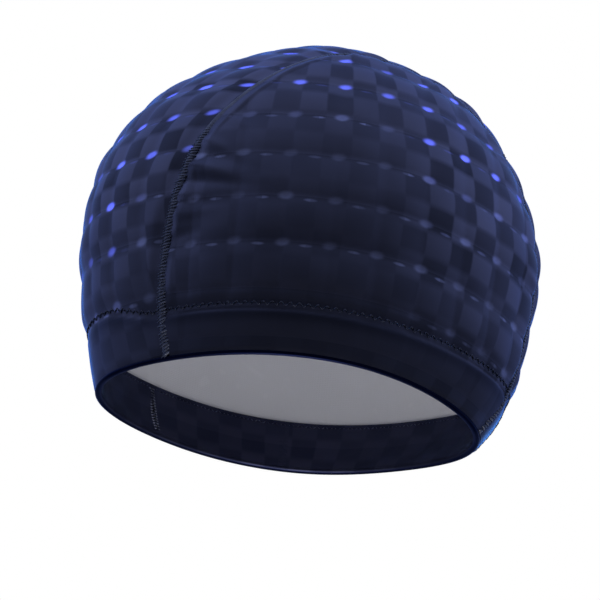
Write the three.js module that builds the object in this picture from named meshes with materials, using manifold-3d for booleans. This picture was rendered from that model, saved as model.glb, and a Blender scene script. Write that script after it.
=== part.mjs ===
// A swim cap in its worn form: a long strip of coated stretch fabric from the forehead over the crown
// to the nape, a panel over each ear, a raised seam between strip and panel, a plain lining,
// and a rim whose hem is folded under and turned up on the inside.
// Millimetres, +Z up as worn, -Y towards the face, +X to the wearer's left.
// The origin is the centre of the head opening, in the plane of the rim.

import * as THREE from 'three';
import { ParametricGeometry } from 'three/addons/geometries/ParametricGeometry.js';
import { mergeVertices } from 'three/addons/utils/BufferGeometryUtils.js';
import Module from 'manifold-3d';

// Driving dimensions of the whole cap
const capLength = 195;
const capWidth = 156;
const capHeight = 165;
const crownSetBack = 3;
const diagonalPinch = 0.045;

// The nape side of the rim hangs a little lower than the sides
const napeDip = 3.2;
const napeDipNarrowing = 4;
const napeDipFadesAtShare = 0.45;

// Cloth
const fabricThickness = 1;
const liningThickness = 1;
const facingThickness = 1.2;
const clothGap = 0.3;

// Hem
const hemDepth = 25;
const hemFoldHeight = 1.1;

// Seams
const seamWidth = 3.4;
const seamHeight = 0.9;
const sweepCentreHeight = 0.45 * capHeight;
const sweepPastRim = 2;

// Fineness of the faces
const stepsAround = 48;
const stepsPerRow = 2;
const closestPlaces = 0.15;
const sweepStepDegrees = 5;
const blockRadiusSteps = 6;

const stretchFabric = {
  color: '#23273f',
  roughness: 0.38,
  metalness: 0,
};
const seamThread = {
  color: '#1b1f33',
  roughness: 0.7,
  metalness: 0,
};
const liningKnit = {
  color: '#82838a',
  roughness: 0.9,
  metalness: 0,
};

// The wall from rim to crown: the rise is a share of capHeight, front and back are shares of half the
// length, measured from the line up through the crown, and side is a share of half the width.
const wallRows = [
  { rise: 0.000, front: 0.866, back: 0.806, side: 0.838 },
  { rise: 0.100, front: 0.908, back: 0.913, side: 0.907 },
  { rise: 0.250, front: 0.964, back: 0.971, side: 0.970 },
  { rise: 0.450, front: 1.000, back: 1.000, side: 1.000 },
  { rise: 0.630, front: 0.950, back: 0.933, side: 0.946 },
  { rise: 0.785, front: 0.800, back: 0.796, side: 0.802 },
  { rise: 0.900, front: 0.560, back: 0.624, side: 0.594 },
  { rise: 0.975, front: 0.275, back: 0.353, side: 0.311 },
  { rise: 1.000, front: 0.000, back: 0.000, side: 0.000 },
];
const crownRow = wallRows.length - 1;

// The seam's distance from the middle plane, as a share of half the width. Sweep is in degrees, as seen
// from the side: 0 points to the forehead, 90 to the crown and 180 to the back of the head.
const seamRows = [
  { sweep: -80, spacing: 0.500 },
  { sweep: -52, spacing: 0.570 },
  { sweep: -25, spacing: 0.665 },
  { sweep: 0, spacing: 0.726 },
  { sweep: 25, spacing: 0.755 },
  { sweep: 50, spacing: 0.760 },
  { sweep: 75, spacing: 0.700 },
  { sweep: 100, spacing: 0.522 },
  { sweep: 130, spacing: 0.305 },
  { sweep: 170, spacing: 0.175 },
  { sweep: 215, spacing: 0.138 },
  { sweep: 260, spacing: 0.128 },
];

// A smooth curve through four values, between the second and the third
function smoothBetween(before, from, to, after, share) {
  const slope = to - before;
  const bend = 2 * before - 5 * from + 4 * to - after;
  const twist = 3 * from - before - 3 * to + after;
  return from + 0.5 * (slope * share + bend * share ** 2 + twist * share ** 3);
}

// One column of the wall at a place counted in rows. Past the crown the wall runs down the other side.
function wallColumn(column, place) {
  const otherSide = column === 'rise' ? 1 : -1;
  const valueOf = (row) => {
    if (row < 0) return wallRows[0][column] + row * (wallRows[1][column] - wallRows[0][column]);
    if (row > crownRow) return otherSide * wallRows[2 * crownRow - row][column];
    return wallRows[row][column];
  };
  const from = Math.min(Math.floor(place), crownRow - 1);
  const four = [from - 1, from, from + 1, from + 2].map(valueOf);
  return smoothBetween(...four, place - from);
}

// The place, counted in rows, that lies at a height above the rim
function placeAtHeight(height) {
  let low = 0;
  let high = crownRow;
  for (let halving = 0; halving < 40; halving += 1) {
    const middle = (low + high) / 2;
    if (wallColumn('rise', middle) * capHeight < height) low = middle;
    else high = middle;
  }
  return low;
}

// A point of the cap's outer face: the angle runs round the head from the wearer's left to the back
function outerPoint(angle, place) {
  const toBack = Math.sin(angle);
  const pinch = 1 - diagonalPinch * Math.sin(2 * angle) ** 2;
  const reach = (capLength / 2) * wallColumn(toBack < 0 ? 'front' : 'back', place);
  const halfWidth = (capWidth / 2) * wallColumn('side', place);
  const rise = wallColumn('rise', place);
  const dipShare = Math.max(0, 1 - rise / napeDipFadesAtShare) ** 2;
  const dip = napeDip * dipShare * Math.max(0, toBack) ** napeDipNarrowing;
  return new THREE.Vector3(
    halfWidth * Math.cos(angle) * pinch,
    crownSetBack + reach * toBack * pinch,
    rise * capHeight - dip,
  );
}

function outwardNormal(angle, place) {
  const step = 0.01;
  if (place > crownRow - step) return new THREE.Vector3(0, 0, 1);
  const around = outerPoint(angle + step, place).sub(outerPoint(angle - step, place));
  const upwards = outerPoint(angle, place + step).sub(outerPoint(angle, place - step));
  return around.cross(upwards).normalize();
}

function wallPoint(angle, place, inset) {
  return outerPoint(angle, place).addScaledVector(outwardNormal(angle, place), -inset);
}

// The places from one height above the rim to another, a few to each row of the wall
function placesBetween(lowHeight, highHeight) {
  const lowest = placeAtHeight(lowHeight);
  const highest = placeAtHeight(highHeight);
  const places = [lowest];
  for (let step = 1; step < crownRow * stepsPerRow; step += 1) {
    const place = step / stepsPerRow;
    if (place > lowest + closestPlaces && place < highest - closestPlaces) places.push(place);
  }
  return [...places, highest];
}

// A closed wall swept once round the head: each corner of its section has a place and an inset
function sweptWall(section) {
  const corners = [...section, section[0]];
  const shape = (roundShare, sectionShare, target) => {
    const along = Math.min(Math.max(sectionShare, 0), 1) * section.length;
    const from = Math.min(Math.floor(along), section.length - 1);
    const share = along - from;
    const place = THREE.MathUtils.lerp(corners[from].place, corners[from + 1].place, share);
    const inset = THREE.MathUtils.lerp(corners[from].inset, corners[from + 1].inset, share);
    target.copy(wallPoint(roundShare * 2 * Math.PI, place, inset));
  };
  return closedGeometry(new ParametricGeometry(shape, stepsAround, section.length));
}

// Joins the vertices that lie on one spot and drops the faces that this leaves without an area
function closedGeometry(geometry) {
  geometry.deleteAttribute('normal');
  geometry.deleteAttribute('uv');
  const merged = mergeVertices(geometry, 1e-4);
  const index = Array.from(merged.index.array);
  const kept = [];
  for (let face = 0; face < index.length; face += 3) {
    const [a, b, c] = index.slice(face, face + 3);
    if (a !== b && b !== c && c !== a) kept.push(a, b, c);
  }
  merged.setIndex(kept);
  return merged;
}

// A dome of cloth between two insets, open at the bottom
function domeWall(lowHeight, outerInset, innerInset) {
  const places = placesBetween(lowHeight, capHeight);
  const outer = places.map((place) => ({ place, inset: outerInset }));
  const inner = places.map((place) => ({ place, inset: innerInset })).reverse();
  return sweptWall([...outer, ...inner]);
}

// The seam's distance from the middle plane at a sweep
function seamSpacing(sweep) {
  const last = seamRows.length - 1;
  let from = 0;
  while (from < last - 1 && seamRows[from + 1].sweep <= sweep) from += 1;
  const share = (sweep - seamRows[from].sweep) / (seamRows[from + 1].sweep - seamRows[from].sweep);
  const rows = [from - 1, from, from + 1, from + 2];
  const four = rows.map((row) => seamRows[Math.min(Math.max(row, 0), last)].spacing);
  return (capWidth / 2) * smoothBetween(...four, share);
}

// The distance from the middle plane of a line beside the seam's middle, as far off it along the cloth
function besideSeam(sweep, alongCloth) {
  const spacing = seamSpacing(sweep);
  const slope = Math.sqrt(1 - (spacing / (capWidth / 2)) ** 2);
  return spacing + alongCloth * slope;
}

// A closed body through sections of four or more corners, each section in the same order
function loftedBody(sections) {
  const sides = sections[0].length;
  const positions = sections.flat().flatMap((corner) => [corner.x, corner.y, corner.z]);
  const index = [];
  for (let section = 0; section < sections.length - 1; section += 1) {
    for (let side = 0; side < sides; side += 1) {
      const here = section * sides + side;
      const beside = section * sides + ((side + 1) % sides);
      index.push(here, beside + sides, beside, here, here + sides, beside + sides);
    }
  }
  const end = (sections.length - 1) * sides;
  for (let side = 1; side < sides - 1; side += 1) {
    index.push(0, side, side + 1, end, end + side + 1, end + side);
  }
  const geometry = new THREE.BufferGeometry();
  geometry.setAttribute('position', new THREE.Float32BufferAttribute(positions, 3));
  geometry.setIndex(index);
  return geometry;
}

// How far below the level a seam meets the rim, in degrees seen from the sweep's centre, and a little more
function sweepBelowLevel(column, spacing) {
  const reach = (capLength / 2) * wallRows[0][column];
  const depth = reach * Math.sqrt(1 - (spacing / wallRows[0].side) ** 2);
  return THREE.MathUtils.radToDeg(Math.atan2(sweepCentreHeight + napeDip, depth)) + sweepPastRim;
}

// The sweeps at which the seams' sections stand, from just past the rim in front to just past it behind
function seamSweeps() {
  const first = -sweepBelowLevel('front', seamRows[1].spacing);
  const last = 180 + sweepBelowLevel('back', seamRows[seamRows.length - 2].spacing);
  const steps = Math.round((last - first) / sweepStepDegrees);
  return Array.from({ length: steps + 1 }, (unused, step) => THREE.MathUtils.lerp(first, last, step / steps));
}

// A fan-shaped block between two lines beside the seams, one on each side of the cap. Its sides are
// divided along the radius, so that their faces lie close to the true ruled surface.
function blockBetweenSeams(alongCloth, spare) {
  const innerRadius = 0.22 * capLength;
  const outerRadius = 0.75 * capLength;
  const shares = Array.from({ length: blockRadiusSteps + 1 }, (unused, step) => step / blockRadiusSteps);
  const radii = shares.map((share) => THREE.MathUtils.lerp(innerRadius, outerRadius, share));
  const corner = (sweep, side, radius) => {
    const turn = THREE.MathUtils.degToRad(sweep);
    return new THREE.Vector3(
      side * (besideSeam(sweep, alongCloth) + spare),
      crownSetBack - radius * Math.cos(turn),
      sweepCentreHeight + radius * Math.sin(turn),
    );
  };
  return loftedBody(seamSweeps().map((sweep) => [
    ...radii.map((radius) => corner(sweep, 1, radius)),
    ...radii.map((radius) => corner(sweep, -1, radius)).reverse(),
  ]));
}

// The point of the wall, at an inset, that lies at a sweep and at a distance from the middle plane.
// It starts from a guess of the angle and the place and steps towards the answer.
function wallPointAtSweep(sweep, distance, inset, guess) {
  const turn = THREE.MathUtils.degToRad(sweep);
  const missOf = (angle, place) => {
    const point = wallPoint(angle, place, inset);
    const fromCentre = [point.y - crownSetBack, point.z - sweepCentreHeight];
    return [point.x - distance, fromCentre[0] * Math.sin(turn) + fromCentre[1] * Math.cos(turn)];
  };
  const nudge = 1e-3;
  let { angle, place } = guess;
  for (let round = 0; round < 12; round += 1) {
    const miss = missOf(angle, place);
    const turned = missOf(angle + nudge, place).map((value, i) => (value - miss[i]) / nudge);
    const raised = missOf(angle, place + nudge).map((value, i) => (value - miss[i]) / nudge);
    const scale = turned[0] * raised[1] - raised[0] * turned[1];
    angle -= (miss[0] * raised[1] - raised[0] * miss[1]) / scale;
    place -= (turned[0] * miss[1] - miss[0] * turned[1]) / scale;
  }
  return { angle, place, point: wallPoint(angle, place, inset) };
}

const wasm = await Module();
wasm.setup();

function solidOf(geometry) {
  const vertProperties = new Float32Array(geometry.attributes.position.array);
  const triVerts = new Uint32Array(geometry.index.array);
  return new wasm.Manifold(new wasm.Mesh({ numProp: 3, vertProperties, triVerts }));
}

function geometryOf(solid) {
  const mesh = solid.getMesh();
  const geometry = new THREE.BufferGeometry();
  geometry.setAttribute('position', new THREE.BufferAttribute(mesh.vertProperties, 3));
  geometry.setIndex(new THREE.BufferAttribute(mesh.triVerts, 1));
  return geometry;
}

// A block that holds everything on the wearer's left of the middle plane
function leftBlock() {
  const size = 2 * capLength;
  const box = new THREE.BoxGeometry(size, size, size);
  box.translate(size / 2, 0, 0);
  return closedGeometry(box);
}

// A piece on the wearer's left and its mirror image on the right
function mirroredPair(name, left, look) {
  return [
    namedMesh(`${name}_left`, geometryOf(left), look),
    namedMesh(`${name}_right`, geometryOf(left.mirror([1, 0, 0])), look),
  ];
}

function namedMesh(name, geometry, look) {
  geometry.computeVertexNormals();
  const mesh = new THREE.Mesh(geometry, new THREE.MeshStandardMaterial(look));
  mesh.name = name;
  return mesh;
}

// The outer fabric: one dome, cut along both seams into the strip and the two side panels
function makePanels() {
  const dome = solidOf(domeWall(hemFoldHeight + clothGap, 0, fabricThickness));
  const strip = solidOf(blockBetweenSeams(-seamWidth / 2, -clothGap));
  const stripAndSeams = solidOf(blockBetweenSeams(seamWidth / 2, clothGap));
  const left = dome.subtract(stripAndSeams).intersect(solidOf(leftBlock()));
  return [
    namedMesh('center_panel', geometryOf(dome.intersect(strip)), stretchFabric),
    ...mirroredPair('side_panel', left, stretchFabric),
  ];
}

// Each seam: a rounded ridge that fills the space between strip and panel and stands proud of both
function makeSeams() {
  const ridgeCorners = [
    { alongCloth: -0.5, inset: fabricThickness },
    { alongCloth: 0.5, inset: fabricThickness },
    { alongCloth: 0.5, inset: -0.3 * seamHeight },
    { alongCloth: 0.25, inset: -seamHeight },
    { alongCloth: -0.25, inset: -seamHeight },
    { alongCloth: -0.5, inset: -0.3 * seamHeight },
  ];
  let guess = { angle: -0.85, place: -0.5 };
  const sections = seamSweeps().map((sweep) => ridgeCorners.map(({ alongCloth, inset }) => {
    const distance = besideSeam(sweep, alongCloth * seamWidth);
    guess = wallPointAtSweep(sweep, distance, inset, guess);
    return guess.point;
  }));
  const aboveFold = solidOf(domeWall(hemFoldHeight + clothGap, -2 * seamHeight, 2 * fabricThickness));
  return mirroredPair('seam', solidOf(loftedBody(sections)).intersect(aboveFold), seamThread);
}

// The lining: the grey inner face, from the top of the hem to the crown
function makeLining() {
  const outerInset = fabricThickness + clothGap;
  const wall = domeWall(hemDepth + clothGap, outerInset, outerInset + liningThickness);
  return namedMesh('lining', wall, liningKnit);
}

// The hem: folded under the panels' edge and turned up on the inside
function makeHemFacing() {
  const outerInset = fabricThickness + clothGap;
  const innerInset = outerInset + facingThickness;
  const outer = placesBetween(hemFoldHeight, hemDepth).map((place) => ({ place, inset: outerInset }));
  const inner = placesBetween(0, hemDepth).map((place) => ({ place, inset: innerInset })).reverse();
  const fold = [
    { place: 0, inset: 0 },
    { place: outer[0].place, inset: 0 },
  ];
  const section = [...fold, ...outer, ...inner];
  return namedMesh('hem_facing', sweptWall(section), stretchFabric);
}

const group = new THREE.Group();
group.add(...makePanels(), ...makeSeams(), makeLining(), makeHemFacing());

export default group;
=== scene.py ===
# A swim cap in its worn form: coated stretch fabric with a puffed check, roped seams, a knit lining
# and a stitched hem. The shape is worked out in millimetres and placed in metres.

import math

import bpy
import numpy as np
from mathutils import Matrix, Vector


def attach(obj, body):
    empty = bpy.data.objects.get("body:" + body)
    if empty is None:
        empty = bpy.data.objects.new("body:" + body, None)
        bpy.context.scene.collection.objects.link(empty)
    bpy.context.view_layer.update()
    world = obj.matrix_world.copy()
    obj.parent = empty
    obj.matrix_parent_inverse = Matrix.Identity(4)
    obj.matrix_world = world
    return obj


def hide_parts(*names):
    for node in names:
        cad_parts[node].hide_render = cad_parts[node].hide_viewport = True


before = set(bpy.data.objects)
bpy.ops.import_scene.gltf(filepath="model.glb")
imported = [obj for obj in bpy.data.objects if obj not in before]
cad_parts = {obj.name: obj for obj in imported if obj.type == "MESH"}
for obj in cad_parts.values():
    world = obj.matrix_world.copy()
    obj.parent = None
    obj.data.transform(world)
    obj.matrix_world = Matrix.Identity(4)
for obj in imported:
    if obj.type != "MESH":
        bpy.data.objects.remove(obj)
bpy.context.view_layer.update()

metre = 1000.0

# Driving sizes of the cap, the same as in the part's source
cap_length = 195.0
cap_width = 156.0
cap_height = 165.0
crown_set_back = 3.0
diagonal_pinch = 0.045
nape_dip = 3.2
nape_dip_narrowing = 4
nape_dip_fades_at_share = 0.45
fabric_thickness = 1.0
lining_thickness = 1.0
facing_thickness = 1.2
cloth_gap = 0.3
hem_depth = 25.0
hem_fold_height = 1.1
seam_width = 3.4
seam_height = 0.9
sweep_centre_height = 0.45 * cap_height
panel_edge_height = hem_fold_height + cloth_gap
band_inside = fabric_thickness + cloth_gap + facing_thickness
panel_clear_of_seam = 1.2
first_sweep = -58
last_sweep = 238

# The wall from rim to crown, in shares of the height, of half the length and of half the width
wall_rise = np.array([0.000, 0.100, 0.250, 0.450, 0.630, 0.785, 0.900, 0.975, 1.000])
wall_front = np.array([0.866, 0.908, 0.964, 1.000, 0.950, 0.800, 0.560, 0.275, 0.000])
wall_back = np.array([0.806, 0.913, 0.971, 1.000, 0.933, 0.796, 0.624, 0.353, 0.000])
wall_side = np.array([0.838, 0.907, 0.970, 1.000, 0.946, 0.802, 0.594, 0.311, 0.000])
crown_row = len(wall_rise) - 1

# The seam's distance from the middle plane, as a share of half the width, at each sweep in degrees
seam_sweeps = np.array([-80, -52, -25, 0, 25, 50, 75, 100, 130, 170, 215, 260], float)
seam_shares = np.array(
    [0.500, 0.570, 0.665, 0.726, 0.755, 0.760, 0.700, 0.522, 0.305, 0.175, 0.138, 0.128]
)

# The check: two light and two dark squares to a repeat
side_repeat_around = 24.6
side_repeat_up = 22.6
side_first_column = 8.9
side_first_row = 31.0
strip_repeat_across = 16.6
strip_repeat_along = 22.0
strip_first_row = 5.0

# The painted glints: highlight points, one to each repeat, and the dashes between them
glint_repeat = 20.3
glint_repeat_up = 20.15
side_first_glint = 4.1
side_first_glint_row = 27.6
strip_glint_repeat = 15.8
strip_glint_repeat_along = 20.0
strip_first_glint_row = 13.0
strip_lowest_repeat = 26.0


def smooth_between(before, start, end, after, share):
    """A smooth curve through four values, between the second and the third."""
    slope = end - before
    bend = 2 * before - 5 * start + 4 * end - after
    twist = 3 * start - before - 3 * end + after
    return start + 0.5 * (slope * share + bend * share**2 + twist * share**3)


def wall_column(column, place, other_side=-1.0):
    """One column of the wall at places counted in rows."""
    place = np.asarray(place, float)
    row = np.minimum(np.floor(place).astype(int), crown_row - 1)

    def value_of(index):
        inside = column[np.clip(index, 0, crown_row)]
        below = column[0] + index * (column[1] - column[0])
        past = other_side * column[np.clip(2 * crown_row - index, 0, crown_row)]
        return np.where(index < 0, below, np.where(index > crown_row, past, inside))

    four = [value_of(row + step) for step in (-1, 0, 1, 2)]
    return smooth_between(*four, place - row)


def outer_point(angle, place):
    """Points of the outer face: the angle runs from the wearer's left to the back."""
    angle = np.asarray(angle, float)
    to_back = np.sin(angle)
    pinch = 1 - diagonal_pinch * np.sin(2 * angle) ** 2
    share = np.where(to_back < 0, wall_column(wall_front, place), wall_column(wall_back, place))
    half_width = cap_width / 2 * wall_column(wall_side, place)
    rise = wall_column(wall_rise, place, 1.0)
    dip = nape_dip * np.maximum(0, 1 - rise / nape_dip_fades_at_share) ** 2
    dip = dip * np.maximum(0, to_back) ** nape_dip_narrowing
    x = half_width * np.cos(angle) * pinch
    y = crown_set_back + cap_length / 2 * share * to_back * pinch
    return np.stack([x, y, rise * cap_height - dip], axis=-1)


fine_places = np.linspace(-1, crown_row, 3601)
fine_heights = wall_column(wall_rise, fine_places, 1.0) * cap_height


def place_at_height(height):
    return np.interp(height, fine_heights, fine_places)


def angle_and_place(points):
    """The angle round the head and the place in rows that belong to points near the wall."""
    x, y, z = points[..., 0], points[..., 1] - crown_set_back, points[..., 2]
    to_back = np.zeros_like(x)
    for _ in range(4):
        fades = np.maximum(0, 1 - z / cap_height / nape_dip_fades_at_share) ** 2
        place = place_at_height(z + nape_dip * fades * np.maximum(0, to_back) ** nape_dip_narrowing)
        share = np.where(y < 0, wall_column(wall_front, place), wall_column(wall_back, place))
        depth = y / np.maximum(cap_length / 2 * share, 0.01)
        width = x / np.maximum(cap_width / 2 * wall_column(wall_side, place), 0.01)
        angle = np.arctan2(depth, width)
        to_back = np.sin(angle)
    outside = np.hypot(depth, width) / (1 - diagonal_pinch * np.sin(2 * angle) ** 2) - 1
    above_crown = points[..., 2] > cap_height
    return angle, place, np.where(above_crown, 1.0, outside)


def swept_points(distance, sweep):
    """Points of the wall at a distance from the middle plane and a sweep seen from the side."""
    turn = np.radians(sweep)
    near = np.zeros(np.broadcast(distance, turn).shape)
    far = near + 130.0
    for _ in range(36):
        middle = (near + far) / 2
        y = crown_set_back - middle * np.cos(turn)
        z = sweep_centre_height + middle * np.sin(turn)
        outside = angle_and_place(np.stack([distance + 0 * middle, y, z], axis=-1))[2] > 0
        far = np.where(outside, middle, far)
        near = np.where(outside, near, middle)
    return np.stack([distance + 0 * far, y, z], axis=-1)


def seam_spacing(sweep):
    last = len(seam_sweeps) - 1
    start = np.clip(np.searchsorted(seam_sweeps, sweep, side="right") - 1, 0, last - 1)
    share = (sweep - seam_sweeps[start]) / (seam_sweeps[start + 1] - seam_sweeps[start])
    four = [seam_shares[np.clip(start + step, 0, last)] for step in (-1, 0, 1, 2)]
    return cap_width / 2 * smooth_between(*four, share)


def beside_seam(sweep, along_cloth):
    """The distance from the middle plane of a line beside the seam, as far off it along the cloth."""
    spacing = seam_spacing(sweep)
    return spacing + along_cloth * np.sqrt(1 - (spacing / (cap_width / 2)) ** 2)


def sweep_of(points):
    across = crown_set_back - points[..., 1]
    turn = np.degrees(np.arctan2(points[..., 2] - sweep_centre_height, across))
    return np.where(turn < -100, turn + 360, turn)


def ease(low, high, value):
    share = np.clip((value - low) / (high - low), 0, 1)
    return share * share * (3 - 2 * share)


def bump_at(value, centre, half_width):
    return np.exp(-(((value - centre) / half_width) ** 2))


# How far the cloth reaches along the wall, read off finely once
wide_angles = np.radians(np.linspace(-180, 180, 1441))
widest = outer_point(wide_angles, place_at_height(sweep_centre_height))
wide_steps = np.linalg.norm(np.diff(widest, axis=0), axis=-1)
wide_arcs = np.concatenate([[0], np.cumsum(wide_steps)])
wide_arcs = wide_arcs - np.interp(0, wide_angles, wide_arcs)

arc_places = np.linspace(0, crown_row, 321)
arc_angles = np.radians(np.linspace(-180, 180, 181))
arc_grid = outer_point(arc_angles[:, None], arc_places[None, :])
up_steps = np.linalg.norm(np.diff(arc_grid, axis=1), axis=-1)
up_arcs = np.concatenate([np.zeros((len(arc_angles), 1)), np.cumsum(up_steps, axis=1)], axis=1)


def read_grid(table, first, second, first_range, second_range):
    """Reads a table at places between its rows and columns."""
    rows, columns = table.shape
    a = np.clip((first - first_range[0]) / (first_range[1] - first_range[0]), 0, 1) * (rows - 1)
    b = np.clip((second - second_range[0]) / (second_range[1] - second_range[0]), 0, 1) * (columns - 1)
    i = np.minimum(a.astype(int), rows - 2)
    j = np.minimum(b.astype(int), columns - 2)
    s, t = a - i, b - j
    low = table[i, j] * (1 - s) + table[i + 1, j] * s
    high = table[i, j + 1] * (1 - s) + table[i + 1, j + 1] * s
    return low * (1 - t) + high * t


def arc_from_rim(angle, place):
    return read_grid(up_arcs, angle, place, (-math.pi, math.pi), (0, crown_row))


along_distances = np.linspace(0, 64, 33)
along_sweeps = np.linspace(-62, 242, 305)
along_places = np.meshgrid(along_distances, along_sweeps, indexing="ij")
along_points = swept_points(*along_places)
along_steps = np.linalg.norm(np.diff(along_points, axis=1), axis=-1)
along_start = np.zeros((len(along_distances), 1))
along_arcs = np.concatenate([along_start, np.cumsum(along_steps, axis=1)], axis=1)
level_column = int(np.argmin(np.abs(along_sweeps)))
along_arcs = along_arcs - along_arcs[:, level_column : level_column + 1]
level_place = place_at_height(np.array([sweep_centre_height]))
level_arc = float(arc_from_rim(np.array([-math.pi / 2]), level_place)[0])


def arc_along_strip(distance, sweep):
    reach = (along_sweeps[0], along_sweeps[-1])
    return level_arc + read_grid(along_arcs, np.abs(distance), sweep, (0, along_distances[-1]), reach)


# Mesh helpers


def deselect_all():
    bpy.ops.object.select_all(action="DESELECT")


def only(piece):
    deselect_all()
    piece.select_set(True)
    bpy.context.view_layer.objects.active = piece


def points_of(piece):
    flat = np.empty(len(piece.data.vertices) * 3)
    piece.data.vertices.foreach_get("co", flat)
    return flat.reshape(-1, 3)


def normals_of(piece):
    flat = np.empty(len(piece.data.vertices) * 3)
    piece.data.vertex_normals.foreach_get("vector", flat)
    return flat.reshape(-1, 3)


def face_towards(piece, way):
    """Turns a cloth's faces over where they look against the given way."""
    if float((normals_of(piece) * way).sum(axis=1).mean()) < 0:
        piece.data.flip_normals()


def move_points(piece, points):
    piece.data.vertices.foreach_set("co", np.asarray(points, float).ravel())
    piece.data.update()


def store(piece, name, values):
    """Keeps three numbers at each vertex, for the piece's material."""
    attribute = piece.data.attributes.new(name, "FLOAT_VECTOR", "POINT")
    attribute.data.foreach_set("vector", np.stack(values, axis=-1).astype(np.float32).ravel())


def flat_cloth(name, steps_across, steps_up):
    """A flat cloth, and how far across and up each of its vertices lies, from 0 to 1."""
    deselect_all()
    bpy.ops.mesh.primitive_grid_add(x_subdivisions=steps_across, y_subdivisions=steps_up, size=1)
    piece = bpy.context.object
    piece.name = name
    piece.data.name = name
    shares = points_of(piece)[:, :2] + 0.5
    return piece, shares[:, 0], shares[:, 1]


def weld(piece, distance=1e-6):
    only(piece)
    bpy.ops.object.mode_set(mode="EDIT")
    bpy.ops.mesh.select_all(action="SELECT")
    bpy.ops.mesh.remove_doubles(threshold=distance)
    bpy.ops.mesh.normals_make_consistent(inside=False)
    bpy.ops.object.mode_set(mode="OBJECT")


def thicken(piece, thickness):
    """Gives a cloth its thickness, inwards from the face that it has."""
    only(piece)
    solidify = piece.modifiers.new("thickness", "SOLIDIFY")
    solidify.thickness = thickness / metre
    solidify.offset = -1
    bpy.ops.object.modifier_apply(modifier=solidify.name)


def smooth(piece, degrees=50):
    only(piece)
    bpy.ops.object.shade_smooth_by_angle(angle=math.radians(degrees))


def finish_piece(piece, material, nodes=()):
    piece.data.materials.clear()
    piece.data.materials.append(material)
    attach(piece, "root")
    if nodes:
        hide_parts(*nodes)
    return piece


# Relief of the cloth


def puff(cells_across, cells_up):
    """Rounded cushions between creases: 0 in a crease and 1 on a cushion's middle."""
    across = np.abs(np.sin(math.pi * cells_across)) ** 0.8
    up = np.abs(np.sin(math.pi * cells_up)) ** 0.8
    return 0.35 * across + 0.65 * up


puff_height = 1.65
# Painted shade of the hem
hem_shade = -0.22
hem_crease_height = 17.8
hem_crease_rise = 6.4
stitches_above_crease = 2.6
inside_row_below_edge = 1.9
sway_height = 0.42
lap_width = 5.2
lap_height = 0.55


def hem_crease_at(angle):
    """The crease's height, which rises over the brow."""
    return hem_crease_height + hem_crease_rise * ease(0.76, 0.97, -np.sin(angle))


def hem_share(angle, height):
    """1 in the hem and 0 above its crease."""
    crease_height = hem_crease_at(angle)
    return 1 - ease(crease_height - 1.2, crease_height + 1.2, height)


def hem_painted_shade(angle, height):
    """Painted shade: the hem's cloth is a little darker, most of all just below its crease."""
    below = hem_crease_at(angle) - height
    return hem_shade - 0.42 * (1 - ease(0.5, 6.5, below))


def cushion_share(off_seam, angle, height):
    """How much of the cushions' height is left beside a seam, in the hem and under its stitches."""
    above_stitches = height - hem_crease_at(angle) - stitches_above_crease
    free = ease(1.0, 5.0, off_seam) * ease(0.5, 8.0, above_stitches)
    return (0.30 + 0.70 * free) * (1 - 0.9 * bump_at(above_stitches, 0, 2.4))


def sway(around, up):
    """Slow hollows and swells of the stretched cloth."""
    slow = np.sin(around / 13 + 1.3 * np.sin(up / 19)) * np.sin(up / 11 + 0.8 * np.sin(around / 17))
    return sway_height * slow * ease(26, 40, up)


def hem_relief(angle, height):
    """The hem's second layer, and the crease where it ends."""
    crease_height = hem_crease_at(angle)
    layer = 0.12 * (1 - ease(crease_height - 2.5, crease_height + 0.5, height))
    crease = -0.45 * bump_at(height, crease_height + 0.3, 0.55)
    bed = -0.16 * bump_at(height, crease_height + stitches_above_crease, 1.3)
    rounded = -0.25 * (1 - ease(panel_edge_height, panel_edge_height + 1.6, height))
    return layer + crease + bed + rounded


# Puckers beside the seams: sweep, distance off the seam, length, half width, and height
puckers = (
    (20.0, 6.0, 7.0, 1.8, 0.9),
    (14.0, 10.0, 9.0, 1.6, -0.8),
    (7.0, 7.0, 9.0, 1.9, 1.3),
    (0.5, 9.0, 11.0, 1.8, -1.3),
    (-6.0, 6.0, 8.0, 1.7, 0.8),
    (-14.0, 7.0, 8.0, 1.8, 0.7),
    (-22.0, 5.0, 7.0, 1.8, -0.6),
    (36.0, 8.0, 8.0, 2.0, 0.6),
    (95.0, 7.0, 8.0, 2.0, 0.7),
    (120.0, 8.0, 8.0, 2.0, -0.6),
    (150.0, 7.0, 8.0, 2.0, 0.7),
    (185.0, 7.0, 7.0, 2.0, 0.6),
)


def pucker_relief(sweep, off_seam, around):
    relief = np.zeros_like(sweep)
    for at, middle, length, half_width, height in puckers:
        across = (sweep - at) * math.radians(1) * around + 0.25 * (off_seam - middle)
        relief = relief + height * bump_at(off_seam, middle, length) * bump_at(across, 0, half_width)
    return relief


def lapped_fold(sweep, off_seam):
    """The side panel laps over itself beside the upper seam, and the lap ends in a sharp edge."""
    reach = ease(22, 34, sweep) * (1 - ease(78, 92, sweep))
    return lap_height * reach * (1 - ease(lap_width - 0.5, lap_width + 0.5, off_seam))


# The side panels: each column of vertices runs from the rim up to the seam


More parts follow.
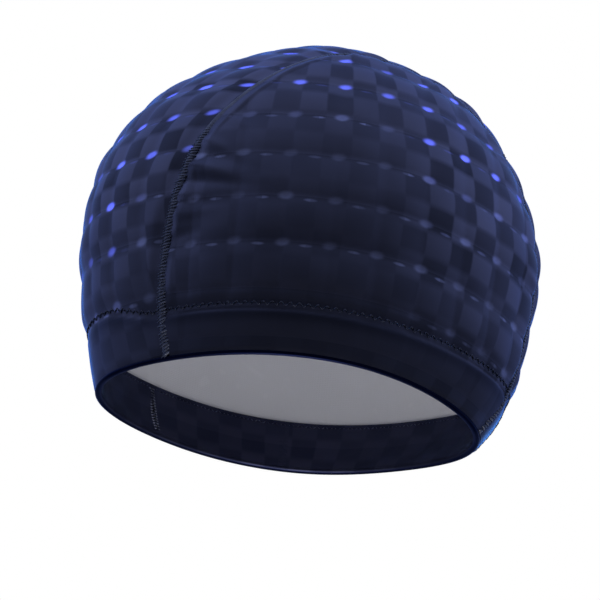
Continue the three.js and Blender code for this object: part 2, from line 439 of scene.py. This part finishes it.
def side_grid(across, up):
    edge_place = place_at_height(panel_edge_height)
    table_sweeps = np.linspace(first_sweep, last_sweep, 593)
    seam_points = swept_points(beside_seam(table_sweeps, panel_clear_of_seam), table_sweeps)
    seam_angle, seam_place, _ = angle_and_place(seam_points)
    on_panel = np.flatnonzero(seam_place > edge_place)
    chosen = slice(max(on_panel[0] - 1, 0), on_panel[-1] + 2)
    steps = np.linalg.norm(np.diff(seam_points[chosen], axis=0), axis=-1)
    reach = np.concatenate([[0], np.cumsum(steps)])
    sweeps = np.interp(across, reach / reach[-1], table_sweeps[chosen])
    top_angle = np.interp(sweeps, table_sweeps, seam_angle)
    top_place = np.maximum(np.interp(sweeps, table_sweeps, seam_place), edge_place)
    rim_angle = seam_angle[chosen][0] + across * (seam_angle[chosen][-1] - seam_angle[chosen][0])
    angle = rim_angle + (top_angle - rim_angle) * up
    place = edge_place + (top_place - edge_place) * up
    return angle, place


def painted_glint_side(angle):
    """Where the side panel turns towards the face or the back of the head, and its painted glints are
    brighter.
    """
    return np.maximum(ease(0.20, 0.60, angle), ease(0.75, 1.05, -angle))


def make_side_panel(name, mirror):
    piece, across, up = flat_cloth(name, 240, 130)
    angle, place = side_grid(across, up)
    points = outer_point(angle, place)
    sweep = sweep_of(points)
    level = np.interp(angle, wide_angles, wide_arcs)
    girth = wall_column(wall_side, place)
    height = wall_column(wall_rise, place, 1.0) * cap_height
    arc = arc_from_rim(angle, place)
    check_across = (level - side_first_column) / side_repeat_around
    check_up = (arc - side_first_row) / side_repeat_up + 0.5
    glint_across = (level * girth**0.65 - side_first_glint) / glint_repeat
    glint_up = (arc - side_first_glint_row) / glint_repeat_up
    # Painted light: the check's contrast is stronger where the panel turns away and near the top, and the
    # painted glints are brighter there.
    turned = ease(0.30, 0.90, np.abs(angle + 0.12))
    turned = turned * (0.45 + 0.55 * ease(30, 75, height))
    contrast = 0.12 + 0.68 * np.maximum(turned, 0.6 * ease(82, 135, height))
    bright = painted_glint_side(angle)
    bright = np.maximum(bright * ease(80, 104, height), ease(98, 128, height))
    strength = 0.30 + 0.14 * painted_glint_side(angle) * ease(20, 80, height) + 0.56 * bright
    spacing = np.abs(points[:, 0]) - beside_seam(sweep, 0)
    slope = np.sqrt(np.maximum(1 - (beside_seam(sweep, 0) / (cap_width / 2)) ** 2, 0.1))
    off_seam = np.abs(spacing) / slope
    from_centre = np.hypot(points[:, 1] - crown_set_back, points[:, 2] - sweep_centre_height)
    relief = puff_height * puff(glint_across, glint_up) * cushion_share(off_seam, angle, height)
    relief = relief + sway(level, arc) * ease(1.0, 6.0, off_seam)
    relief = relief + hem_relief(angle, height) + lapped_fold(sweep, off_seam)
    relief = relief + pucker_relief(sweep, off_seam, from_centre) * ease(24, 34, height)
    relief = relief - 0.10 * (1 - ease(0.8, 2.6, off_seam))
    plain = 1 - (1 - ease(4.6, 5.6, off_seam)) * (lapped_fold(sweep, 0 * sweep) > 0.1)
    contrast = contrast * plain
    # The lowest row of painted glints shows only towards the back.
    low_row = arc < side_first_glint_row + glint_repeat_up / 2
    strength = strength * np.where(low_row, ease(0.30, 0.65, angle), 1)
    # Painted shade: the hem is darker and has no painted glints.
    in_hem = hem_share(angle, height)
    contrast = contrast * (1 - 0.45 * in_hem)
    strength = strength * plain * (1 - in_hem) + hem_painted_shade(angle, height) * in_hem
    if mirror:
        points = points * np.array([-1, 1, 1])
    move_points(piece, points / metre)
    if mirror:
        piece.data.flip_normals()
    move_points(piece, points / metre + normals_of(piece) * relief[:, None] / metre)
    store(piece, "checks", [check_across, check_up, contrast])
    store(piece, "glints", [glint_across, glint_up, strength])
    weld(piece)
    thicken(piece, fabric_thickness)
    smooth(piece)
    return piece


def make_center_panel():
    piece, across, along = flat_cloth("center_panel_cloth", 96, 300)
    edge_place = place_at_height(panel_edge_height)
    side = 2 * across - 1
    ends = []
    for first, last in ((-90, -20), (20, 90)):
        rim = outer_point(np.radians(np.linspace(first, last, 281)), edge_place)
        rim_sweeps = sweep_of(rim)
        shares = rim[:, 0] / beside_seam(rim_sweeps, -panel_clear_of_seam)
        order = np.argsort(shares)
        ends.append(np.interp(np.abs(side), shares[order], rim_sweeps[order]))
    sweep = ends[0] + (ends[1] - ends[0]) * along
    distance = side * beside_seam(sweep, -panel_clear_of_seam)
    points = swept_points(distance, sweep)
    angle, place, _ = angle_and_place(points)
    height = wall_column(wall_rise, place, 1.0) * cap_height
    bent = cap_width / 2 * np.arcsin(distance / (cap_width / 2))
    arc = arc_along_strip(distance, sweep)
    check_across = bent / strip_repeat_across + 0.5
    check_up = (arc - strip_first_row) / strip_repeat_along
    glint_across = bent / strip_glint_repeat
    glint_up = (arc - strip_first_glint_row) / strip_glint_repeat_along
    lowest_rows = 2 + (arc - strip_first_glint_row - 2 * strip_glint_repeat_along) / strip_lowest_repeat
    glint_up = np.where(glint_up < 2, lowest_rows, glint_up)
    off_seam = seam_spacing(sweep) - np.abs(distance)
    relief = puff_height * puff(glint_across, glint_up) * cushion_share(off_seam, angle, height)
    relief = relief + sway(bent, arc) * ease(1.0, 6.0, off_seam)
    relief = relief + hem_relief(angle, height)
    relief = relief - 0.10 * (1 - ease(0.8, 2.6, off_seam))
    move_points(piece, points / metre)
    face_towards(piece, points)
    out = normals_of(piece)
    move_points(piece, points / metre + out * relief[:, None] / metre)
    # Painted light: the glints are painted highlights, dimmer low down and towards the seams, and the
    # check's contrast is painted stronger towards the top.
    facing_side = ease(0.35, 0.75, np.abs(bent) / (cap_width / 2)) * (1 - ease(82, 100, height))
    strength = (0.45 + 0.55 * ease(25, 75, height)) * (1 - 0.72 * facing_side)
    contrast = 0.34 + 0.46 * ease(35, 95, height)
    store(piece, "checks", [check_across, check_up, contrast])
    # Painted shade: the hem is darker and has no painted glints.
    in_hem = hem_share(angle, height)
    strength = strength * (1 - in_hem) + hem_painted_shade(angle, height) * in_hem
    store(piece, "glints", [glint_across, glint_up, strength])
    thicken(piece, fabric_thickness)
    smooth(piece)
    return piece


# Seams: a rounded ridge with short slanted stitches wound over it


def seam_frames(sweeps, along_cloth, mirror):
    """Places beside the seam with the directions along it, across it and out of the cloth."""
    points = swept_points(beside_seam(sweeps, along_cloth), sweeps)
    ahead = swept_points(beside_seam(sweeps + 0.2, along_cloth), sweeps + 0.2)
    beside = swept_points(beside_seam(sweeps, along_cloth + 0.3), sweeps)
    along = ahead - points
    along = along / np.linalg.norm(along, axis=-1, keepdims=True)
    across = beside - points
    out = np.cross(across, along)
    out = out / np.linalg.norm(out, axis=-1, keepdims=True)
    across = np.cross(along, out)
    if mirror:
        flip = np.array([-1, 1, 1])
        points, along, across, out = points * flip, along * flip, across * flip, out * flip
    return points, along, across, out


def seam_run():
    """Sweeps at equal steps along the seam from rim to rim."""
    table = np.linspace(first_sweep, last_sweep, 1185)
    points = swept_points(seam_spacing(table), table)
    heights = angle_and_place(points)[1]
    inside = table[heights > place_at_height(panel_edge_height)]
    kept = np.linspace(inside[0], inside[-1], 1201)
    steps = np.linalg.norm(np.diff(swept_points(seam_spacing(kept), kept), axis=0), axis=-1)
    return kept, np.concatenate([[0], np.cumsum(steps)])


run_sweeps, run_reach = seam_run()
ridge_half = seam_width / 2


def ridge_profile(share):
    """How far a seam stands out of the cloth, at a share of its half width."""
    return seam_height * (np.sqrt(np.maximum(0, 1 - np.abs(share) ** 2.6)) - 0.45)


def make_seam(name, mirror):
    piece, across, along = flat_cloth(name, 10, 420)
    sweeps = np.interp(along * run_reach[-1], run_reach, run_sweeps)
    share = 2 * across - 1
    points, _, _, out = seam_frames(sweeps, share * ridge_half, mirror)
    points = points + out * ridge_profile(share)[:, None]
    move_points(piece, points / metre)
    face_towards(piece, out)
    thicken(piece, fabric_thickness)
    smooth(piece, 60)
    return piece


def model_stitch(length, thickness):
    """One stitch lying along X: a short thread with rounded ends that bows over the cloth."""
    deselect_all()
    bpy.ops.mesh.primitive_cylinder_add(
        vertices=6, radius=thickness / 2, depth=length * 0.72, rotation=(0, math.pi / 2, 0)
    )
    stitch = bpy.context.object
    bpy.ops.object.transform_apply(location=True, rotation=True, scale=True)
    bpy.ops.object.mode_set(mode="EDIT")
    bpy.ops.mesh.select_all(action="SELECT")
    bpy.ops.mesh.bisect(plane_co=(0, 0, 0), plane_no=(1, 0, 0))
    bpy.ops.object.mode_set(mode="OBJECT")
    for end in (-1, 1):
        for face in stitch.data.polygons:
            face.select = face.normal.x * end > 0.9
        bpy.ops.object.mode_set(mode="EDIT")
        bpy.ops.mesh.select_mode(type="FACE")
        bpy.ops.mesh.extrude_region_move(TRANSFORM_OT_translate={"value": (end * length * 0.14, 0, 0)})
        bpy.ops.transform.resize(value=(1, 0.45, 0.45))
        bpy.ops.object.mode_set(mode="OBJECT")
    points = points_of(stitch)
    points[:, 2] -= thickness * 0.45 * (np.abs(points[:, 0]) / (length / 2)) ** 2
    faces = [tuple(face.vertices) for face in stitch.data.polygons]
    bpy.data.objects.remove(stitch)
    return points, faces


def sew(name, stitch, frames):
    """One piece of many stitches: each is the same thread, placed by its own frame in millimetres."""
    shape, faces = stitch
    places, along, across, out = frames
    moved = (
        places[:, None, :]
        + shape[None, :, 0, None] * along[:, None, :]
        + shape[None, :, 1, None] * across[:, None, :]
        + shape[None, :, 2, None] * out[:, None, :]
    )
    count = len(shape)
    handed = float(np.mean(np.sum(np.cross(along, across) * out, axis=-1)))
    order = faces if handed > 0 else [tuple(reversed(face)) for face in faces]
    starts = [count * i for i in range(len(places))]
    all_faces = [tuple(corner + start for corner in face) for start in starts for face in order]
    mesh = bpy.data.meshes.new(name)
    mesh.from_pydata((moved.reshape(-1, 3) / metre).tolist(), [], all_faces)
    mesh.update()
    piece = bpy.data.objects.new(name, mesh)
    bpy.context.scene.collection.objects.link(piece)
    smooth(piece, 60)
    return piece


rope_pitch = 1.35
rope_width = seam_width * 1.45
rope_thickness = 0.95


def make_seam_stitches(name, mirror):
    count = int(run_reach[-1] / rope_pitch)
    sweeps = np.interp((np.arange(count) + 0.5) * rope_pitch, run_reach, run_sweeps)
    places, along, across, out = seam_frames(sweeps, 0.0, mirror)
    uneven = np.random.default_rng(11).normal(0, 1, (3, count, 1))
    slant = np.radians(16 + 10 * uneven[0])
    thread = across * np.cos(slant) + along * np.sin(slant)
    sideways = along * np.cos(slant) - across * np.sin(slant)
    buried = 0.5 * (ease(20, 34, sweeps) * (1 - ease(80, 95, sweeps)))[:, None]
    places = places + out * (seam_height * 0.66 - buried + 0.06 * uneven[1]) + across * 0.14 * uneven[2]
    return sew(name, model_stitch(rope_width, rope_thickness), (places, thread, sideways, out))


# Lining and hem


head_centre_height = 60


def make_lining():
    piece, around, up = flat_cloth("lining_knit_cloth", 180, 70)
    outer_inset = fabric_thickness + cloth_gap
    lowest = place_at_height(hem_depth + cloth_gap)
    angle = (around * 2 - 1) * math.pi
    place = lowest + (crown_row - lowest) * up
    points = outer_point(angle, place)
    points[up > 0.9999] = (0, crown_set_back, cap_height)
    move_points(piece, points / metre)
    weld(piece)
    points = points_of(piece) * metre
    face_towards(piece, points - np.array([0, 0, head_centre_height]))
    out = normals_of(piece)
    sweep = sweep_of(points)
    off_seam = np.abs(points[:, 0]) - seam_spacing(sweep)
    ridge = 0.30 * bump_at(off_seam, 0, 1.6)
    soft = 0.12 * np.sin(points[:, 1] / 9.0 + points[:, 2] / 13.0) * np.sin(points[:, 2] / 8.0)
    move_points(piece, (points - out * (outer_inset + ridge + soft)[:, None]) / metre)
    store(piece, "checks", [points[:, 1], points[:, 2], off_seam])
    thicken(piece, lining_thickness * 0.9)
    smooth(piece)
    return piece


# Painted shade of the hem's inner face and of its fold at the rim
inner_shade = -0.78
folded_shade = -1.0
last_folded_row = 5.5
first_band_row = 8


def facing_section():
    """The hem's section from the panel's edge, down round the fold and up the inside."""
    fold = [
        (panel_edge_height - 0.1, 0.35),
        (panel_edge_height - 0.5, 0.02),
        (0.55, 0.0),
        (0.15, 0.35),
        (0.0, 0.9),
        (0.0, 1.5),
        (0.15, 2.1),
        (0.6, band_inside),
    ]
    band = [(height, band_inside) for height in np.linspace(1.6, hem_depth, 26)]
    return np.array(fold + band)


def make_hem_facing():
    section = facing_section()
    piece, around, up = flat_cloth("hem_facing_cloth", 300, len(section) - 1)
    at = up * (len(section) - 1)
    height = np.interp(at, np.arange(len(section)), section[:, 0])
    inset = np.interp(at, np.arange(len(section)), section[:, 1])
    angle = (around * 2 - 1) * math.pi
    place = place_at_height(height)
    points = outer_point(angle, place)
    step = 0.01
    round_it = outer_point(angle + step, place) - outer_point(angle - step, place)
    upwards = outer_point(angle, place + step) - outer_point(angle, place - step)
    out = np.cross(round_it, upwards)
    out = out / np.linalg.norm(out, axis=-1, keepdims=True)
    on_band = at > first_band_row
    depth = hem_depth - height
    edge_roll = 0.25 * (1 - ease(0, 1.2, depth)) * on_band
    crease = 0.22 * bump_at(depth, inside_row_below_edge, 0.6) * on_band
    ripple = 0.22 * np.sin(angle * 23 + height * 0.22) * ease(2, 9, height) * ease(0, 6, depth) * on_band
    inset = inset - edge_roll - crease + ripple
    points = points - out * inset[:, None]
    move_points(piece, points / metre)
    level = np.interp(angle, wide_angles, wide_arcs)
    check_across = (level - side_first_column) / side_repeat_around
    store(piece, "checks", [check_across, (height + 6) / side_repeat_up, 0.55 + 0 * level])
    # Painted shade: the hem's inner face is darker, and the fold at the rim darkest, as in shadow.
    folded = inner_shade + (folded_shade - inner_shade) * (at < last_folded_row)
    glint_across = (level - side_first_glint) / glint_repeat
    store(piece, "glints", [glint_across, (height + 8) / glint_repeat_up, folded])
    weld(piece)
    thicken(piece, 0.35)
    smooth(piece)
    return piece


def level_frames(height_at, inset, pitch):
    """Places round the wall, with the directions round, up and out of the cloth."""
    angles = np.radians(np.linspace(0, 360, 1441))
    ring = outer_point(angles, place_at_height(height_at(angles)))
    reach = np.concatenate([[0], np.cumsum(np.linalg.norm(np.diff(ring, axis=0), axis=-1))])
    count = int(reach[-1] / pitch)
    angle = np.interp((np.arange(count) + 0.5) * reach[-1] / count, reach, angles)
    place = place_at_height(height_at(angle))
    step = 0.005
    points = outer_point(angle, place)
    round_it = outer_point(angle + step, place) - outer_point(angle - step, place)
    upwards = outer_point(angle, place + step) - outer_point(angle, place - step)
    round_it = round_it / np.linalg.norm(round_it, axis=-1, keepdims=True)
    out = np.cross(round_it, upwards)
    out = out / np.linalg.norm(out, axis=-1, keepdims=True)
    upwards = np.cross(out, round_it)
    return points - out * inset, round_it, upwards, out


def make_zigzag(name, height_at, inset, pitch, rise, thickness, inwards):
    """A zigzag row of thread round the hem."""
    places, round_it, upwards, out = level_frames(height_at, inset, pitch)
    turn = np.where(np.arange(len(places)) % 2 == 0, 1.0, -1.0)[:, None] * math.atan2(rise, pitch)
    thread = round_it * np.cos(turn) + upwards * np.sin(turn)
    sideways = upwards * np.cos(turn) - round_it * np.sin(turn)
    if inwards:
        out = -out
    length = math.hypot(pitch, rise) * 1.08
    return sew(name, model_stitch(length, thickness), (places, thread, sideways, out))


def outside_row_height(angle):
    return hem_crease_at(angle) + stitches_above_crease


def inside_row_height(angle):
    return hem_depth - inside_row_below_edge + 0 * angle


def make_facing_seams(name, inset):
    """The ends of both seams, overstitched on the hem's inner face too."""
    steps = np.arange(rope_pitch, hem_depth - 3.0, rope_pitch)
    sweeps = np.interp(np.concatenate([steps, run_reach[-1] - steps]), run_reach, run_sweeps)
    ends = []
    for mirror in (False, True):
        places, along, across, out = seam_frames(sweeps, 0.0, mirror)
        thread = -across if mirror else across
        ends.append((places - out * inset, thread, along, -out))
    frames = [np.concatenate(pair) for pair in zip(*ends)]
    return sew(name, model_stitch(seam_width * 1.25, 0.85), frames)


# Materials


class Value:
    """One output socket of a material. Sums on it add Math nodes."""

    def __init__(self, tree, socket):
        self.tree = tree
        self.socket = socket

    def node(self, kind, settings=None, sockets=None, output=0):
        """Adds any node: its settings come first, then what its sockets hold or are linked to."""
        made = self.tree.nodes.new(kind)
        for name, value in (settings or {}).items():
            setattr(made, name, value)
        for key, value in (sockets or {}).items():
            if isinstance(value, Value):
                self.tree.links.new(value.socket, made.inputs[key])
            else:
                made.inputs[key].default_value = value
        return Value(self.tree, made.outputs[output])

    def math(self, operation, *values):
        return self.node("ShaderNodeMath", {"operation": operation}, dict(enumerate(values)))

    def __add__(self, other):
        return self.math("ADD", self, other)

    def __radd__(self, other):
        return self.math("ADD", other, self)

    def __sub__(self, other):
        return self.math("SUBTRACT", self, other)

    def __rsub__(self, other):
        return self.math("SUBTRACT", other, self)

    def __mul__(self, other):
        return self.math("MULTIPLY", self, other)

    def __rmul__(self, other):
        return self.math("MULTIPLY", other, self)

    def __truediv__(self, other):
        return self.math("DIVIDE", self, other)

    def __pow__(self, other):
        return self.math("POWER", self, other)

    def wave(self):
        """The sine of whole turns."""
        return self.math("SINE", self * (2 * math.pi))

    def clamped(self, low, high):
        return self.math("MINIMUM", self.math("MAXIMUM", self, low), high)

    def off_whole(self):
        """How far it is from the nearest whole number, from -0.5 to 0.5."""
        return self.math("FRACT", self + 0.5) - 0.5

    def eased(self, low, high):
        return self.node(
            "ShaderNodeMapRange",
            {"interpolation_type": "SMOOTHSTEP"},
            {0: self, 1: low, 2: high, 3: 0.0, 4: 1.0},
        )

    def choose(self, first, second):
        """A colour between two, by this value."""
        return self.node("ShaderNodeMix", {"data_type": "RGBA"}, {0: self, 6: first, 7: second}, output=2)


def start_material(name):
    material = bpy.data.materials.new(name)
    material.use_nodes = True
    tree = material.node_tree
    tree.nodes.clear()
    return material, Value(tree, None)


def end_material(start, sockets, bump=None):
    """The surface: constants sit on its sockets, and what varies is linked."""
    if bump is not None:
        height, distance, strength = bump
        sockets = dict(sockets)
        sockets["Normal"] = start.node(
            "ShaderNodeBump", None, {"Height": height, "Distance": distance, "Strength": strength}
        )
    surface = start.node("ShaderNodeBsdfPrincipled", None, sockets)
    output = start.tree.nodes.new("ShaderNodeOutputMaterial")
    start.tree.links.new(surface.socket, output.inputs["Surface"])


def read_attribute(start, name):
    vector = start.node("ShaderNodeAttribute", {"attribute_name": name}, None, output=1)
    split = start.node("ShaderNodeSeparateXYZ", None, {0: vector})
    node = split.socket.node
    return [Value(start.tree, socket) for socket in node.outputs]


def object_place(start):
    return start.node("ShaderNodeTexCoord", None, None, output=3)


def noise(start, scale, detail=2.0, where=None):
    where = where or object_place(start)
    return start.node("ShaderNodeTexNoise", None, {"Vector": where, "Scale": scale, "Detail": detail})


def cell_chance(start, across, up):
    """A number from 0 to 1 for each cell, the same all over the cell."""
    column = start.math("FLOOR", across + 0.5)
    row = start.math("FLOOR", up + 0.5)
    cell = start.node("ShaderNodeCombineXYZ", None, {0: column, 1: row, 2: 0.0})
    return start.node("ShaderNodeTexWhiteNoise", {"noise_dimensions": "3D"}, {"Vector": cell})


def coated_fabric(name, glints_shine, shaded):
    """Navy coated stretch fabric with a two-tone check, and painted light: painted shade on its rows and
    painted glints with a glow.
    """
    material, start = start_material(name)
    across, up, contrast = read_attribute(start, "checks")
    glint_across, glint_up, strength = read_attribute(start, "glints")
    warp = noise(start, 60.0, 1.0) * 0.07 - 0.035
    across, up = across + warp, up - warp
    square = (across.wave() * 7.0).clamped(-1.0, 1.0) * (up.wave() * 2.6).clamped(-1.0, 1.0)
    # Painted shade: each row of cushions is lighter just above its row of glints and darker up to the next.
    rise = start.math("FRACT", glint_up)
    shade = 1.0 - rise.eased(0.0, 0.95)
    cloudy = noise(start, 55.0)
    square = square * (0.45 + cell_chance(start, across * 2.0 - 0.5, up * 2.0 - 0.5))
    # The tone mixes the check, whose stored contrast is painted light, the painted shade of the rows and
    # random clouding; it sets the colour and the metallic gloss.
    gloss_and_painted_shade = (0.35 + square * contrast * 0.40 + shade * 0.26 + cloudy * 0.20 - 0.12).clamped(0.0, 1.0)
    cloth = gloss_and_painted_shade.choose((0.040, 0.042, 0.058, 1), (0.135, 0.140, 0.205, 1))
    # Painted glints: blue points and fainter dashes, by the stored strength, which is painted light too.
    wander = noise(start, 26.0, 1.0) - 0.5
    side_step = glint_across.off_whole() * glint_repeat + wander * 3.0
    up_step = glint_up.off_whole() * glint_repeat_up - wander * 2.0
    glow = (side_step / 4.8) ** 2.0 + ((up_step - side_step * 0.10) / 2.8) ** 2.0
    glow = (1.0 - glow.eased(0.0, 1.0)) ** 2.4
    dash_step = (glint_across + 0.5).off_whole() * glint_repeat
    dash = (dash_step / 3.4) ** 2.0 + ((up_step + 1.4) / 0.9) ** 2.0
    faint = 1.0 - strength.eased(0.32, 0.52)
    dash = (1.0 - dash.eased(0.0, 1.0)) * (0.12 + faint * 0.88)
    each = cell_chance(start, glint_across, glint_up) * 0.85 + 0.38
    shine = ((glow + dash) * each).clamped(0.0, 1.0) * strength.clamped(0.0, 1.0) * glints_shine
    # A painted glow on the brightest painted glints.
    painted_glow = shine * shine * strength.eased(0.45, 1.0)
    # Painted shade: where the stored strength is below zero, the cloth darkens towards the shaded colour.
    cloth = (0.0 - strength).clamped(0.0, 1.0).choose(cloth, shaded)
    point = strength.eased(0.30, 0.75).choose((0.42, 0.45, 0.68, 1), (0.30, 0.33, 1.0, 1))
    colour = shine.choose(cloth, point)
    weave = noise(start, 2600.0, 1.0)
    end_material(
        start,
        {
            "Base Color": colour,
            "Metallic": (0.62 + gloss_and_painted_shade * 0.28 + shine * 0.3).clamped(0.0, 1.0),
            "Emission Color": painted_glow.choose((0, 0, 0, 1), (0.05, 0.07, 0.72, 1)),
            "Emission Strength": 1.0,
            "Roughness": 0.42 - shine * 0.12,
            "Specular IOR Level": 0.1,
            "Specular Tint": (0.50, 0.55, 0.75, 1),
            "Sheen Weight": 0.05 + 0.95 * glints_shine,
            "Sheen Roughness": 0.20,
            "Sheen Tint": (0.10, 0.40, 1.0, 1),
        },
        bump=(weave, 0.00004, 0.5),
    )
    return material


def thread_material(name, dark, light, sheen):
    """Matte spun thread, a little uneven in tone."""
    material, start = start_material(name)
    fibres = noise(start, 3000.0, 3.0)
    patches = noise(start, 260.0, 2.0)
    colour = (fibres * 0.5 + patches * 0.6 - 0.05).clamped(0.0, 1.0).choose(dark, light)
    end_material(
        start,
        {
            "Base Color": colour,
            "Roughness": 0.55 + fibres * 0.2,
            "Metallic": 0.35,
            "Specular IOR Level": 0.25,
            "Sheen Weight": sheen,
            "Sheen Roughness": 0.25,
            "Sheen Tint": (0.20, 0.45, 1.0, 1),
        },
        bump=(fibres, 0.00008, 0.7),
    )
    return material


def knit_material():
    """Plain grey knit: fine upright ribs of loops."""
    material, start = start_material("grey_knit")
    across, up, off_seam = read_attribute(start, "checks")
    ribs = (across * 0.9).wave() * 0.5 + 0.5
    loops = (up * 1.1).wave() * 0.5 + 0.5
    soft = noise(start, 18.0)
    fine = noise(start, 1500.0)
    spots = noise(start, 130.0, 0.0).eased(0.72, 0.80)
    seam_line = 1.0 - start.math("ABSOLUTE", off_seam).eased(0.6, 2.2)
    tone = 0.35 + soft * 0.3 + fine * 0.16 + ribs * loops * 0.08 + spots * 0.2 + seam_line * 0.12
    colour = tone.clamped(0.0, 1.0).choose((0.62, 0.62, 0.64, 1), (0.78, 0.78, 0.80, 1))
    end_material(
        start,
        {
            "Base Color": colour,
            "Roughness": 0.88 + fine * 0.08,
            "Specular IOR Level": 0.15,
            "Sheen Weight": 0.2,
            "Sheen Roughness": 0.6,
        },
        bump=(ribs * loops + fine * 0.5, 0.0001, 0.5),
    )
    return material


# The last colour of each fabric is its painted shade, for the hem, its inner face and the fold at the rim.
outer_fabric = coated_fabric("coated_check_fabric", 1.0, (0.008, 0.010, 0.017, 1))
inner_fabric = coated_fabric("coated_check_fabric_inside", 0.0, (0.004, 0.006, 0.024, 1))
seam_thread = thread_material("seam_thread", (0.062, 0.066, 0.088, 1), (0.240, 0.254, 0.315, 1), 0.8)
hem_thread = thread_material("hem_thread", (0.056, 0.060, 0.078, 1), (0.175, 0.185, 0.240, 1), 0.1)
inner_thread = thread_material("inner_thread", (0.070, 0.080, 0.125, 1), (0.230, 0.250, 0.350, 1), 0.0)
grey_knit = knit_material()


# The pieces

center = make_center_panel()
finish_piece(center, outer_fabric, ["center_panel"])
for hand, mirror in (("left", False), ("right", True)):
    panel = make_side_panel(f"side_panel_{hand}_cloth", mirror)
    finish_piece(panel, outer_fabric, [f"side_panel_{hand}"])
    ridge = make_seam(f"seam_{hand}_ridge", mirror)
    finish_piece(ridge, seam_thread, [f"seam_{hand}"])
    rope = make_seam_stitches(f"seam_{hand}_stitches", mirror)
    finish_piece(rope, seam_thread)

lining = make_lining()
finish_piece(lining, grey_knit, ["lining"])
facing = make_hem_facing()
finish_piece(facing, inner_fabric, ["hem_facing"])

outside_row = make_zigzag("hem_zigzag", outside_row_height, -0.16, 1.9, 1.9, 0.42, False)
finish_piece(outside_row, hem_thread)
inside_row = make_zigzag("facing_zigzag", inside_row_height, band_inside + 0.05, 1.9, 1.7, 0.42, True)
finish_piece(inside_row, hem_thread)

facing_seams = make_facing_seams("facing_seam_stitches", band_inside + 0.25)
finish_piece(facing_seams, inner_thread)


# The stage, the lights and the camera

def plain_material(name, colour, roughness):
    material, start = start_material(name)
    speckle = noise(start, 40.0)
    shade = speckle.choose(tuple(0.98 * c for c in colour[:3]) + (1,), colour)
    end_material(start, {"Base Color": shade, "Roughness": roughness})
    return material


floor_height = -1.06
deselect_all()
bpy.ops.mesh.primitive_grid_add(x_subdivisions=4, y_subdivisions=4, size=0.9, location=(0, 0, floor_height))
floor = bpy.context.object
floor.name = "floor"
floor.data.materials.append(plain_material("pale_floor", (0.86, 0.86, 0.87, 1), 0.8))


def soft_light(name, place, aim, size, power, colour):
    light = bpy.data.lights.new(name, "AREA")
    light.shape = "RECTANGLE"
    light.size, light.size_y = size
    light.energy = power
    light.color = colour
    lamp = bpy.data.objects.new(name, light)
    bpy.context.scene.collection.objects.link(lamp)
    lamp.location = place
    lamp.rotation_euler = (Vector(aim) - Vector(place)).to_track_quat("-Z", "Y").to_euler()
    return lamp


cap_middle = (0, 0, 0.07)
soft_light("under_light", (0.008, 0.0, -0.15), cap_middle, (0.09, 0.12), 0.262, (0.98, 0.97, 0.98))

camera_azimuth = math.radians(87.443)
camera_elevation = math.radians(-23.354)
camera_roll = math.radians(6.036)
camera_distance = 2.5168
pixels_to_a_metre = 2334.0
picture_pixels = 600
sensor_width = 36.0
cap_middle_right = 0.00116
cap_middle_up = 0.0152

level_right = Vector((math.cos(camera_azimuth), math.sin(camera_azimuth), 0))
towards_camera = Vector(
    (
        math.sin(camera_azimuth) * math.cos(camera_elevation),
        -math.cos(camera_azimuth) * math.cos(camera_elevation),
        math.sin(camera_elevation),
    )
)
level_up = towards_camera.cross(level_right)
camera_right = level_right * math.cos(camera_roll) + level_up * math.sin(camera_roll)
camera_up = level_up * math.cos(camera_roll) - level_right * math.sin(camera_roll)
aim = Vector(cap_middle) - camera_right * cap_middle_right - camera_up * cap_middle_up

camera_data = bpy.data.cameras.new("camera")
camera_data.sensor_width = sensor_width
camera_data.lens = pixels_to_a_metre * camera_distance * sensor_width / picture_pixels
camera = bpy.data.objects.new("camera", camera_data)
bpy.context.scene.collection.objects.link(camera)
camera.matrix_world = Matrix.Translation(aim + towards_camera * camera_distance) @ (
    Matrix((camera_right, camera_up, towards_camera)).transposed().to_4x4()
)
bpy.context.scene.camera = camera

room_before = (0.096, 0.099, 0.112, 1)
room_behind = (0.71, 0.85, 1.42, 1)
room_low = (0.020, 0.022, 0.030, 1)
room_rim = (0.30, 1.10, 3.60, 1)


def studio_world():
    """A white backdrop, and round the cap a soft room that is dim before it and bluer behind it."""
    world = bpy.data.worlds.new("studio_room")
    bpy.context.scene.world = world
    world.use_nodes = True
    tree = world.node_tree
    tree.nodes.clear()
    start = Value(tree, None)
    direction = start.node("ShaderNodeTexCoord")

    def towards(way):
        unit = Vector(way).normalized()
        sockets = {0: direction, 1: tuple(unit)}
        return start.node("ShaderNodeVectorMath", {"operation": "DOT_PRODUCT"}, sockets, output=1)

    in_front = towards(towards_camera)
    around = ((0.5 - in_front * 0.5) ** 1.12).choose(room_before, room_behind)
    around = towards((0.0, 0.0, 1.0)).eased(-0.68, 0.68).choose(room_low, around)
    around = (1.0 - in_front.eased(-1.0, -0.90)).choose(around, room_rim)
    seen = start.node("ShaderNodeLightPath")
    room = start.node("ShaderNodeBackground", None, {"Color": around})
    backdrop = start.node("ShaderNodeBackground", None, {"Color": (1, 1, 1, 1)})
    mixed = start.node("ShaderNodeMixShader", None, {0: seen, 1: room, 2: backdrop})
    output = tree.nodes.new("ShaderNodeOutputWorld")
    tree.links.new(mixed.socket, output.inputs["Surface"])


studio_world()
bpy.context.scene.view_settings.view_transform = "Standard"
